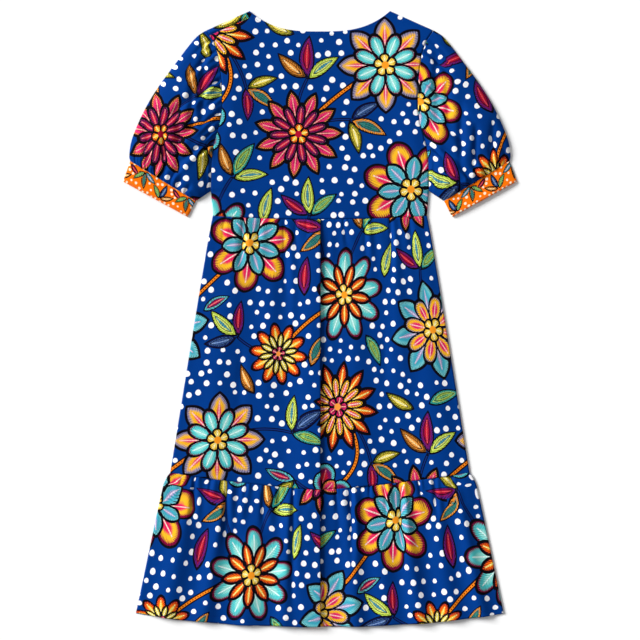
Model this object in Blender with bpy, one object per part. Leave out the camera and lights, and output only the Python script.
"""Puff sleeve midi dress, laid flat on its front so that its back faces up.

Metres, +Z up. X runs across the dress, +Y towards the neck, and the cloth rests on z = 0. The origin is
under the middle of the dress's own box. The front panels lie flat on the surface, and the back panels
lie on them with their gathers, their waves and one deep soft fold down the centre of the skirt.
"""
import math

import bmesh
import bpy

MM = 0.001

# Cloth
CLOTH = 1.2 * MM
SEAM_GAP = 0.3 * MM
ARMHOLE_GAP = 0.8 * MM
LAYER_GAP = 0.4 * MM
FLOOR_LAYER = CLOTH / 2
BACK_LAYER = FLOOR_LAYER + CLOTH + LAYER_GAP

# Lengths down the centre, from the neck point to the hem
BODICE_LENGTH = 389 * MM
SKIRT_LENGTH = 504.5 * MM
TIER_LENGTH = 256.5 * MM
DRESS_LENGTH = BODICE_LENGTH + SKIRT_LENGTH + TIER_LENGTH
NECK_POINT_Y = DRESS_LENGTH / 2
WAIST_Y = NECK_POINT_Y - BODICE_LENGTH
TIER_SEAM_Y = WAIST_Y - SKIRT_LENGTH
HEM_Y = TIER_SEAM_Y - TIER_LENGTH

# How far each seam's side end lies above its centre
WAIST_RISE = 6.5 * MM
TIER_SEAM_RISE = 31.5 * MM
HEM_RISE = 25 * MM
WAIST_CURVE, TIER_SEAM_CURVE, HEM_CURVE = 2, 1.4, 2.4
HEM_WAVE, HEM_WAVE_LENGTH = 0.8 * MM, 19 * MM

# Neck and shoulders
NECK_HALF_WIDTH = 131 * MM
BACK_NECK_DROP = 38 * MM
FRONT_NECK_DROP = 95 * MM
SHOULDER_HALF_WIDTH = 212 * MM
SHOULDER_DROP = 36.5 * MM
WAIST_HALF_WIDTH = 200 * MM
TIER_SEAM_HALF_WIDTH = 279.5 * MM
HEM_HALF_WIDTH = 343.5 * MM

# Armhole, from the shoulder tip down to the underarm: (half width of the bodice, y)
ARMHOLE = [
    (SHOULDER_HALF_WIDTH, NECK_POINT_Y - SHOULDER_DROP),
    (194 * MM, 510 * MM),
    (187 * MM, 474 * MM),
    (182.5 * MM, 430 * MM),
    (183.5 * MM, 380 * MM),
    (193 * MM, 343 * MM),
    (201 * MM, 306 * MM),
    (203.5 * MM, 239 * MM),
]
# Side of the bodice, of the skirt and of the tier: (half width, y)
BODICE_SIDE = [(WAIST_HALF_WIDTH, WAIST_Y + WAIST_RISE), ARMHOLE[-1]]
SKIRT_SIDE = [
    (WAIST_HALF_WIDTH, WAIST_Y + WAIST_RISE),
    (208.5 * MM, 148 * MM),
    (233.5 * MM, -2 * MM),
    (257.5 * MM, -151 * MM),
    (TIER_SEAM_HALF_WIDTH, TIER_SEAM_Y + TIER_SEAM_RISE),
]
TIER_SIDE = [
    SKIRT_SIDE[-1],
    (288.5 * MM, -301 * MM),
    (298.8 * MM, -338 * MM),
    (HEM_HALF_WIDTH, HEM_Y + HEM_RISE),
]
# Outer fold of the sleeve, from the shoulder tip to the cuff: (half width, y)
SLEEVE_OUTER = [
    ARMHOLE[0],
    (229 * MM, 527 * MM),
    (247 * MM, 506 * MM),
    (264 * MM, 483.5 * MM),
    (292 * MM, 446 * MM),
    (316.5 * MM, 409 * MM),
    (336 * MM, 371.5 * MM),
    (351 * MM, 334 * MM),
    (355.5 * MM, 306 * MM),
    (353.5 * MM, 295 * MM),
]
SLEEVE_CUFF_INNER = (232 * MM, 220.5 * MM)
CUFF_HEM_OUTER = (367.5 * MM, 256.5 * MM)
CUFF_HEM_INNER = (247 * MM, 190.5 * MM)

# Heights of the air under the back layer
BODICE_LOFT = 2.0 * MM
ARMHOLE_LIFT, LIFT_START = 6.2 * MM, 0.55
SEAM_LOFT = 0.7 * MM
SKIRT_LOFT = 1.6 * MM
TIER_LOFT = 1.8 * MM
CUFF_LOFT = 3.0 * MM
DOME_FULLNESS = 2.4
CUFF_FULLNESS = 4
# Puff of the sleeve: (share of the way from armhole to cuff, height of the dome)
SLEEVE_PUFF = [
    (0.0, ARMHOLE_LIFT),
    (0.12, 9.5 * MM),
    (0.35, 15 * MM),
    (0.65, 17 * MM),
    (0.88, 12 * MM),
    (1.0, 4.5 * MM),
]

# Gathers: how many ridges, how high from trough to crest, and how far they run down the piece
WAIST_GATHERS, WAIST_GATHER_HEIGHT, WAIST_GATHER_REACH = 17, 1.5 * MM, 0.30
TIER_GATHERS, TIER_GATHER_HEIGHT, TIER_GATHER_REACH = 21, 3.4 * MM, 0.42
HEAD_GATHERS, HEAD_GATHER_HEIGHT, HEAD_GATHER_REACH = 7, 4.0 * MM, 0.45
CUFF_GATHERS, CUFF_GATHER_HEIGHT, CUFF_GATHER_REACH = 8, 3.6 * MM, 0.40
FIRST_CREST_SHARE = 0.25
HEIGHT_AT_SEAM, FULL_HEIGHT_SHARE = 0.4, 0.09
EDGE_CALM = 2.2

# The fold down the centre of the skirt: the left side laps over the right
FOLD_EDGE_X = 1 * MM
FOLD_LAP_AT_WAIST = 5 * MM
FOLD_LAP_AT_HEM = 26 * MM
FOLD_TURN_RADIUS = 0.9 * MM
FOLD_TURN_STEPS = 4
FOLD_LEFT_RAMP, FOLD_RIGHT_RAMP = 55 * MM, 38 * MM
FOLD_UNDERSIDE_END = 3 * MM

# Soft ridges of the skirt: (x at the top, x at the bottom, share where it starts and where it ends,
# half width, height)
SKIRT_RIDGES = [
    (-150 * MM, -212 * MM, 0.00, 1.00, 26 * MM, 2.6 * MM),
    (-84 * MM, -110 * MM, 0.10, 0.80, 22 * MM, 2.2 * MM),
    (-46 * MM, -60 * MM, 0.00, 0.55, 12 * MM, 1.8 * MM),
    (62 * MM, 74 * MM, 0.15, 1.00, 24 * MM, 2.4 * MM),
    (134 * MM, 168 * MM, 0.00, 0.70, 17 * MM, 2.2 * MM),
    (170 * MM, 232 * MM, 0.30, 1.00, 24 * MM, 2.4 * MM),
]
# Waves of the tier, which grow from the seam to the hem, in the same columns
TIER_RIDGES = [
    (-232 * MM, -290 * MM, 0.10, 1.00, 21 * MM, 5.0 * MM),
    (-176 * MM, -218 * MM, 0.00, 1.00, 17 * MM, 5.6 * MM),
    (-118 * MM, -140 * MM, 0.20, 1.00, 22 * MM, 4.2 * MM),
    (-56 * MM, -66 * MM, 0.00, 1.00, 16 * MM, 5.8 * MM),
    (58 * MM, 66 * MM, 0.00, 1.00, 16 * MM, 5.6 * MM),
    (104 * MM, 126 * MM, 0.25, 1.00, 20 * MM, 4.0 * MM),
    (150 * MM, 186 * MM, 0.00, 1.00, 17 * MM, 6.0 * MM),
    (205 * MM, 248 * MM, 0.15, 1.00, 19 * MM, 4.6 * MM),
    (248 * MM, 306 * MM, 0.05, 1.00, 16 * MM, 5.0 * MM),
]

# How finely each piece is divided
ARMHOLE_STEPS = 12
UNDERARM_STEPS = 2
SHOULDER_COLUMNS, BACK_NECK_COLUMNS, FRONT_NECK_COLUMNS = 5, 14, 12
SKIRT_COLUMNS, SKIRT_ROWS = 42, 12
TIER_COLUMNS, TIER_ROWS = 76, 7
FRONT_COLUMNS, FRONT_ROWS = 14, 7
SLEEVE_TOP_COLUMNS, SLEEVE_UNDER_COLUMNS, SLEEVE_ROWS = 26, 8, 11
CUFF_TOP_COLUMNS, CUFF_UNDER_COLUMNS, CUFF_ROWS = 10, 4, 3
SEAM_ROW = 0.012


def mix(a, b, share):
    """The value share of the way from a to b."""
    return a + (b - a) * share


def ease(share):
    """0 to 1 with a level start and a level end."""
    share = min(1.0, max(0.0, share))
    return share * share * (3 - 2 * share)


def point_on(points, share):
    """The point that share of the way along a smooth line through the points."""
    steps = [math.dist(a, b) for a, b in zip(points, points[1:])]
    target = share * sum(steps)
    i = 0
    while i < len(steps) - 1 and target > steps[i]:
        target -= steps[i]
        i += 1
    u = target / steps[i]
    before = points[max(i - 1, 0)]
    start, end = points[i], points[i + 1]
    after = points[min(i + 2, len(points) - 1)]
    found = []
    for p, a, b, q in zip(before, start, end, after):
        slope_a, slope_b = (b - p) / 2, (q - a) / 2
        found.append(
            (2 * u**3 - 3 * u**2 + 1) * a
            + (u**3 - 2 * u**2 + u) * slope_a
            + (3 * u**2 - 2 * u**3) * b
            + (u**3 - u**2) * slope_b
        )
    return tuple(found)


def straight_between(points, share):
    """The point that share of the way along the count of straight steps between points."""
    steps = len(points) - 1
    i = min(int(share * steps), steps - 1)
    return tuple(mix(a, b, share * steps - i) for a, b in zip(points[i], points[i + 1]))


def profile(rows, share):
    """The value at share of a two-column table, eased between its rows."""
    for (a, low), (b, high) in zip(rows, rows[1:]):
        if share <= b:
            return mix(low, high, ease((share - a) / (b - a)))
    return rows[-1][1]


def blend_patch(left, right, bottom, top):
    """A flat patch between four edges, each a function of a share: s runs across it and t up it."""
    corners = left(0), right(0), left(1), right(1)

    def place(s, t):
        found = []
        for k in (0, 1):
            across = mix(left(t)[k], right(t)[k], s)
            upward = mix(bottom(s)[k], top(s)[k], t)
            low = mix(corners[0][k], corners[1][k], s)
            high = mix(corners[2][k], corners[3][k], s)
            found.append(across + upward - mix(low, high, t))
        return tuple(found)

    return place


def mirrored(edge):
    """The same edge on the other side of the centre line."""
    return lambda t: (-edge(t)[0], edge(t)[1])


def seam_y(centre_y, rise, curve, share):
    """The y of a curved seam at a share of its half width."""
    return centre_y + rise * abs(share) ** curve


def seam_rows(count):
    """Shares of a piece's length, with one narrow level row at each seam."""
    inner = [mix(SEAM_ROW, 1 - SEAM_ROW, i / (count - 2)) for i in range(count - 1)]
    return [0.0, *inner, 1.0]


# Plan of each piece
def armhole_edge():
    """The armhole as straight steps from shoulder tip to underarm, so that bodice and sleeve match."""
    return [point_on(ARMHOLE, i / ARMHOLE_STEPS) for i in range(ARMHOLE_STEPS + 1)]


def bodice_rows_up():
    """Side points of the bodice's rows from the waist seam to the shoulder tip."""
    side = [point_on(BODICE_SIDE, i / UNDERARM_STEPS) for i in range(UNDERARM_STEPS)]
    return side + armhole_edge()[::-1]


def bodice_plan(neck_drop):
    """Plan of the front or back bodice: t runs from the waist seam to the shoulders and neckline."""
    rows_up = bodice_rows_up()

    def side(t):
        return straight_between(rows_up, t)

    def waist(s):
        u = 2 * s - 1
        return u * WAIST_HALF_WIDTH, seam_y(WAIST_Y + SEAM_GAP, WAIST_RISE, WAIST_CURVE, u)

    def top(s):
        x = (2 * s - 1) * SHOULDER_HALF_WIDTH
        if abs(x) < NECK_HALF_WIDTH:
            y = NECK_POINT_Y - neck_drop * (1 - (abs(x) / NECK_HALF_WIDTH) ** 3)
        else:
            down = (abs(x) - NECK_HALF_WIDTH) / (SHOULDER_HALF_WIDTH - NECK_HALF_WIDTH)
            y = NECK_POINT_Y - SHOULDER_DROP * down
        return x, y

    return blend_patch(mirrored(side), side, waist, top)


def skirt_edges(t):
    """Half width, y of the centre, rise and curve of a row, t of the way from waist to tier seam."""
    half, side_y = point_on(SKIRT_SIDE, t)
    centre_y = mix(WAIST_Y - SEAM_GAP, TIER_SEAM_Y + SEAM_GAP, t)
    rise = side_y - mix(SEAM_GAP, -SEAM_GAP, t) - centre_y
    return half, centre_y, rise, mix(WAIST_CURVE, TIER_SEAM_CURVE, t)


def tier_edges(t):
    """The same for the tier, from its seam to the hem."""
    half, side_y = point_on(TIER_SIDE, t)
    centre_y = mix(TIER_SEAM_Y, HEM_Y, t)
    return half, centre_y, side_y - centre_y, mix(TIER_SEAM_CURVE, HEM_CURVE, t)


def sleeve_plan():
    """Plan of the right sleeve: s runs from its outer fold to the underarm, t from armhole to cuff."""
    def outer(t):
        return point_on(SLEEVE_OUTER, t)

    def inner(t):
        return mix(ARMHOLE[-1][0] + ARMHOLE_GAP, SLEEVE_CUFF_INNER[0], t), mix(
            ARMHOLE[-1][1], SLEEVE_CUFF_INNER[1], t
        )

    def armhole(s):
        x, y = straight_between(armhole_edge(), s)
        return x + ARMHOLE_GAP, y

    def cuff_seam(s):
        return mix(SLEEVE_OUTER[-1][0], SLEEVE_CUFF_INNER[0], s), mix(
            SLEEVE_OUTER[-1][1], SLEEVE_CUFF_INNER[1], s
        )

    return blend_patch(
        lambda t: (outer(t)[0] + ARMHOLE_GAP * (1 - t), outer(t)[1]), inner, armhole, cuff_seam
    )


def cuff_plan():
    """Plan of the right cuff, from the sleeve's end to the cuff's hem."""
    start_a, start_b = SLEEVE_OUTER[-1], SLEEVE_CUFF_INNER
    fall = math.dist(start_a, CUFF_HEM_OUTER)
    gap_share = 2 * SEAM_GAP / fall

    def place(s, t):
        down = mix(gap_share, 1, t)
        top = [mix(a, b, s) for a, b in zip(start_a, start_b)]
        hem = [mix(a, b, s) for a, b in zip(CUFF_HEM_OUTER, CUFF_HEM_INNER)]
        return tuple(mix(a, b, down) for a, b in zip(top, hem))

    return place


# Heights
def uneven(share, count, start=0.0):
    """Height from 0 to 1 of a row of ridges, unevenly spaced and of uneven height."""
    phase = count * (share + 0.011 * math.sin(9.1 * share + start) + 0.006 * math.sin(23 * share))
    size = 0.72 + 0.28 * math.sin(3.7 * phase + start)
    return size * (0.5 - 0.5 * math.cos(2 * math.pi * (phase + FIRST_CREST_SHARE)))


def gather_fade(t, reach):
    """Height of the gathers at t from their seam: low in it, full just past it, none at their reach."""
    return mix(HEIGHT_AT_SEAM, 1.0, ease(t / FULL_HEIGHT_SHARE)) * ease((reach - t) / reach)


def ridges(table, x, t):
    """Sum of the soft ridges in a table, at x and at t of the way down the piece."""
    total = 0.0
    for top_x, bottom_x, start, end, half_width, height in table:
        if not start <= t <= end:
            continue
        along = (t - start) / (end - start)
        fade = ease(along / 0.3) * (1 if end == 1 else ease((1 - along) / 0.3))
        off = (x - mix(top_x, bottom_x, t)) / (half_width * mix(0.7, 1.15, t))
        total += height * fade * math.exp(-off * off)
    return total


def side_ease(share):
    """0 at a piece's side edges and 1 over its middle, for a share across from -1 to 1."""
    return ease((1 - abs(share)) / 0.12)


def dome(s, fullness):
    """A rounded rise from 0 at both edges to 1 in the middle, for s across from 0 to 1."""
    return math.sqrt(max(0.0, 1 - abs(2 * s - 1) ** fullness))


def bodice_height(s, t):
    """Height of the middle of the back bodice's cloth."""
    edge = abs(2 * s - 1)
    loft = mix(SEAM_LOFT, BODICE_LOFT, ease(t / 0.15)) * side_ease(2 * s - 1) * ease((1 - t) / 0.15)
    steps = ARMHOLE_STEPS + UNDERARM_STEPS
    from_shoulder = min(1.0, (1 - t) * steps / ARMHOLE_STEPS)
    lift = ARMHOLE_LIFT * dome(from_shoulder, DOME_FULLNESS)
    return BACK_LAYER + loft + lift * ease((edge - LIFT_START) / (1 - LIFT_START))


def skirt_height(x, half, t):
    """Height of the middle of the back skirt's cloth, without the centre fold."""
    share = x / half
    gathers = uneven((share + 1) / 2, WAIST_GATHERS) * gather_fade(t, WAIST_GATHER_REACH)
    loft = mix(SEAM_LOFT, SKIRT_LOFT, math.sin(math.pi * t) ** 0.7)
    folds = ridges(SKIRT_RIDGES, x, t)
    return BACK_LAYER + side_ease(share) * (gathers * WAIST_GATHER_HEIGHT + loft + folds)


def tier_height(x, half, t):
    """Height of the middle of the back tier's cloth, without the centre fold."""
    share = x / half
    gathers = uneven((share + 1) / 2, TIER_GATHERS, 1.3) * gather_fade(t, TIER_GATHER_REACH)
    loft = mix(SEAM_LOFT, TIER_LOFT, ease(t / 0.3))
    folds = ridges(TIER_RIDGES, x, t)
    return BACK_LAYER + side_ease(share) * (gathers * TIER_GATHER_HEIGHT + loft + folds)


def sleeve_height(s, t):
    """Height of the middle of the sleeve's upper cloth."""
    rise = dome(s, DOME_FULLNESS)
    head = uneven(s, HEAD_GATHERS, 0.4) * ease((HEAD_GATHER_REACH - t) / HEAD_GATHER_REACH) * ease(t / 0.08)
    cuff = uneven(s, CUFF_GATHERS, 2.1) * ease((t - 1 + CUFF_GATHER_REACH) / CUFF_GATHER_REACH)
    cuff *= ease((1 - t) / 0.06)
    ripple = head * HEAD_GATHER_HEIGHT + cuff * CUFF_GATHER_HEIGHT
    return BACK_LAYER + rise * (profile(SLEEVE_PUFF, t) + ripple * min(1.0, EDGE_CALM * rise))


def cuff_height(s, t):
    """Height of the middle of the cuff's upper cloth."""
    return BACK_LAYER + CUFF_LOFT * dome(s, CUFF_FULLNESS)


# The centre fold
def fold_section(left_x, left_z, right_z, lap, columns_left, columns_right, half):
    """One row of (x, z) across a panel whose left side laps over its right along the centre.

    left_z and right_z give the height of each side before the fold is made. The left side rises on a ramp
    to lie on the turned-back cloth, turns under, runs back left by the lap, and turns again.
    """
    radius = FOLD_TURN_RADIUS
    stack = 4 * radius
    edge = FOLD_EDGE_X
    base = right_z(edge)
    row = []
    for i in range(columns_left):
        x = mix(left_x, edge - radius, i / columns_left)
        level = ease((x - edge + lap + FOLD_LEFT_RAMP) / FOLD_LEFT_RAMP)
        row.append((x, mix(left_z(x), base + stack, level)))
    for i in range(FOLD_TURN_STEPS + 1):
        turn = math.pi * i / FOLD_TURN_STEPS
        row.append((edge - radius + radius * math.sin(turn), base + 3 * radius + radius * math.cos(turn)))
    for i in range(FOLD_TURN_STEPS + 1):
        turn = math.pi * i / FOLD_TURN_STEPS
        row.append((edge - lap + radius - radius * math.sin(turn), base + radius + radius * math.cos(turn)))
    start = edge + FOLD_UNDERSIDE_END
    for i in range(columns_right + 1):
        x = mix(start, half, i / columns_right)
        row.append((x, mix(base, right_z(x), ease((x - start) / FOLD_RIGHT_RAMP))))
    return row


def folded_panel_rows(edges, height, lap_at, rows, columns, hem_wave=0.0):
    """Rows of points for a back panel with the centre fold, from its top seam to its bottom edge."""
    grid = []
    for t in seam_rows(rows):
        half, centre_y, rise, curve = edges(t)

        def surface(x):
            return height(x, half, t)

        section = fold_section(-half, surface, surface, lap_at(t), columns // 2, columns // 2, half)
        wave = hem_wave * ease((t - 0.7) / 0.3)
        grid.append(
            [
                (x, seam_y(centre_y, rise, curve, x / half) + wave * (1 + math.sin(x / HEM_WAVE_LENGTH)), z)
                for x, z in section
            ]
        )
    return grid


def skirt_lap(t):
    """Lap of the centre fold, t of the way down the skirt."""
    return mix(FOLD_LAP_AT_WAIST, FOLD_LAP_AT_HEM, t * SKIRT_LENGTH / (SKIRT_LENGTH + TIER_LENGTH))


def tier_lap(t):
    """Lap of the centre fold, t of the way down the tier."""
    return mix(skirt_lap(1), FOLD_LAP_AT_HEM, t)


# Making the solids
def cloth_material(name, colour, roughness):
    material = bpy.data.materials.new(name)
    material.use_nodes = True
    shader = material.node_tree.nodes["Principled BSDF"]
    shader.inputs["Base Color"].default_value = (*colour, 1)
    shader.inputs["Roughness"].default_value = roughness
    shader.inputs["Metallic"].default_value = 0
    material.diffuse_color = (*colour, 1)
    return material


def cloth_object(name, grid, material, closed=False, thickness=CLOTH):
    """A named wall of cloth whose middle passes through rows of points. closed joins each row's ends."""
    columns, rows = len(grid[0]), len(grid)
    sheet = bmesh.new()
    bmesh.ops.create_grid(sheet, x_segments=columns - 1, y_segments=rows - 1, size=1)
    sheet.verts.ensure_lookup_table()
    for number, vertex in enumerate(sheet.verts):
        vertex.co = grid[number // columns][number % columns]
    if closed:
        bmesh.ops.remove_doubles(sheet, verts=sheet.verts, dist=1e-6)
    bmesh.ops.recalc_face_normals(sheet, faces=sheet.faces)
    mesh = bpy.data.meshes.new(name)
    sheet.to_mesh(mesh)
    sheet.free()
    mesh.shade_smooth()
    mesh.set_sharp_from_angle(angle=math.radians(50))
    mesh.materials.append(material)
    piece = bpy.data.objects.new(name, mesh)
    bpy.context.scene.collection.objects.link(piece)
    wall = piece.modifiers.new("wall", "SOLIDIFY")
    wall.thickness = thickness
    wall.offset = 0
    wall.use_even_offset = True
    wall.use_quality_normals = True
    return piece


def bodice_grid(neck_drop, neck_columns, height):
    """Rows of points over the bodice's plan, from waist to neckline, with a column at each neck point."""
    plan = bodice_plan(neck_drop)
    neck_share = (1 - NECK_HALF_WIDTH / SHOULDER_HALF_WIDTH) / 2
    shoulder = [neck_share * i / SHOULDER_COLUMNS for i in range(SHOULDER_COLUMNS)]
    neck = [mix(neck_share, 1 - neck_share, i / neck_columns) for i in range(neck_columns + 1)]
    shares = shoulder + neck + [1 - s for s in reversed(shoulder)]
    rows = len(bodice_rows_up()) - 1
    return [[(*plan(s, j / rows), height(s, j / rows)) for s in shares] for j in range(rows + 1)]


def flat_rows(edges, columns, rows):
    """Rows of points of a front panel, pressed flat on the surface."""
    grid = []
    for j in range(rows + 1):
        half, centre_y, rise, curve = edges(j / rows)
        shares = [2 * i / columns - 1 for i in range(columns + 1)]
        grid.append([(u * half, seam_y(centre_y, rise, curve, u), FLOOR_LAYER) for u in shares])
    return grid


def tube_rows(plan, height, top_columns, under_columns, rows, side):
    """Rings of a flattened tube: over the top from the outer fold to the inner, then back underneath."""
    grid = []
    for t in seam_rows(rows):
        ring = []
        for i in range(top_columns + 1):
            even = i / top_columns
            s = mix(even, 0.5 - 0.5 * math.cos(math.pi * even), 0.45)
            x, y = plan(s, t)
            ring.append((side * x, y, height(s, t)))
        for i in range(under_columns + 1):
            s = 1 - i / under_columns
            x, y = plan(s, t)
            ring.append((side * x, y, FLOOR_LAYER))
        ring.append(ring[0])
        grid.append(ring)
    return grid


def build_dress():
    """Makes every piece of the dress."""
    for old in list(bpy.data.objects):
        bpy.data.objects.remove(old, do_unlink=True)

    print_cloth = cloth_material("print_cloth", (0.02, 0.08, 0.36), 0.8)
    cuff_cloth = cloth_material("cuff_cloth", (0.95, 0.32, 0.02), 0.8)

    back_bodice = bodice_grid(BACK_NECK_DROP, BACK_NECK_COLUMNS, bodice_height)
    cloth_object("bodice_back", back_bodice, print_cloth)
    front_bodice = bodice_grid(FRONT_NECK_DROP, FRONT_NECK_COLUMNS, lambda s, t: FLOOR_LAYER)
    cloth_object("bodice_front", front_bodice, print_cloth)

    back_skirt = folded_panel_rows(skirt_edges, skirt_height, skirt_lap, SKIRT_ROWS, SKIRT_COLUMNS)
    cloth_object("skirt_back", back_skirt, print_cloth)
    cloth_object("skirt_front", flat_rows(skirt_edges, FRONT_COLUMNS, FRONT_ROWS), print_cloth)

    back_tier = folded_panel_rows(tier_edges, tier_height, tier_lap, TIER_ROWS, TIER_COLUMNS, HEM_WAVE)
    cloth_object("tier_back", back_tier, print_cloth)
    cloth_object("tier_front", flat_rows(tier_edges, FRONT_COLUMNS, FRONT_ROWS), print_cloth)

    for name, side in (("left", -1), ("right", 1)):
        sleeve = tube_rows(
            sleeve_plan(), sleeve_height, SLEEVE_TOP_COLUMNS, SLEEVE_UNDER_COLUMNS, SLEEVE_ROWS, side
        )
        cloth_object(f"sleeve_{name}", sleeve, print_cloth, closed=True)
        cuff = tube_rows(cuff_plan(), cuff_height, CUFF_TOP_COLUMNS, CUFF_UNDER_COLUMNS, CUFF_ROWS, side)
        cloth_object(f"cuff_{name}", cuff, cuff_cloth, closed=True)


build_dress()
